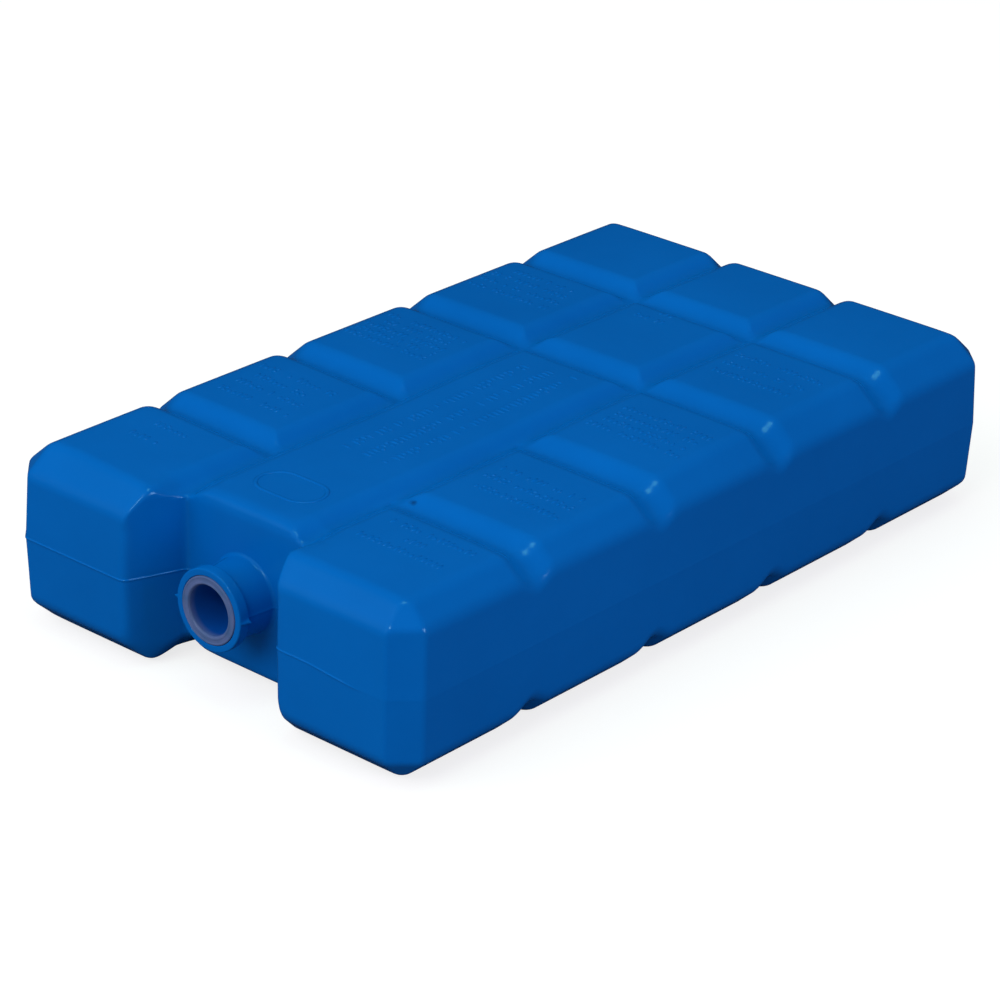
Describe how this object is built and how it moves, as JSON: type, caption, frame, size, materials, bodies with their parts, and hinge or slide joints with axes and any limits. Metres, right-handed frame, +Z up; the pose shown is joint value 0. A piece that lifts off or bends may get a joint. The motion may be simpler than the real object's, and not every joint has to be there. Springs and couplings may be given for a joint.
{
  "type": "reusable ice pack",
  "caption": "Flat rigid blow-moulded ice pack with grooved panels on both broad faces, a notched end with a short filler neck and a pressed-in plug.",
  "frame": {"origin": "under the middle of the pack's box, on the plane that the pack lies on", "axes": "+Z up through the two broad faces, +Y along the length away from the filler end, +X across the width"},
  "size_m": [0.096, 0.166, 0.0352],
  "materials": {
    "bottle": "satin blow-moulded polyethylene, royal blue",
    "plug": "natural milky polyethylene, slightly see-through"
  },
  "bodies": {
    "root": {"bottle": "bottle", "filler_plug": "plug"}
  },
  "joints": []
}
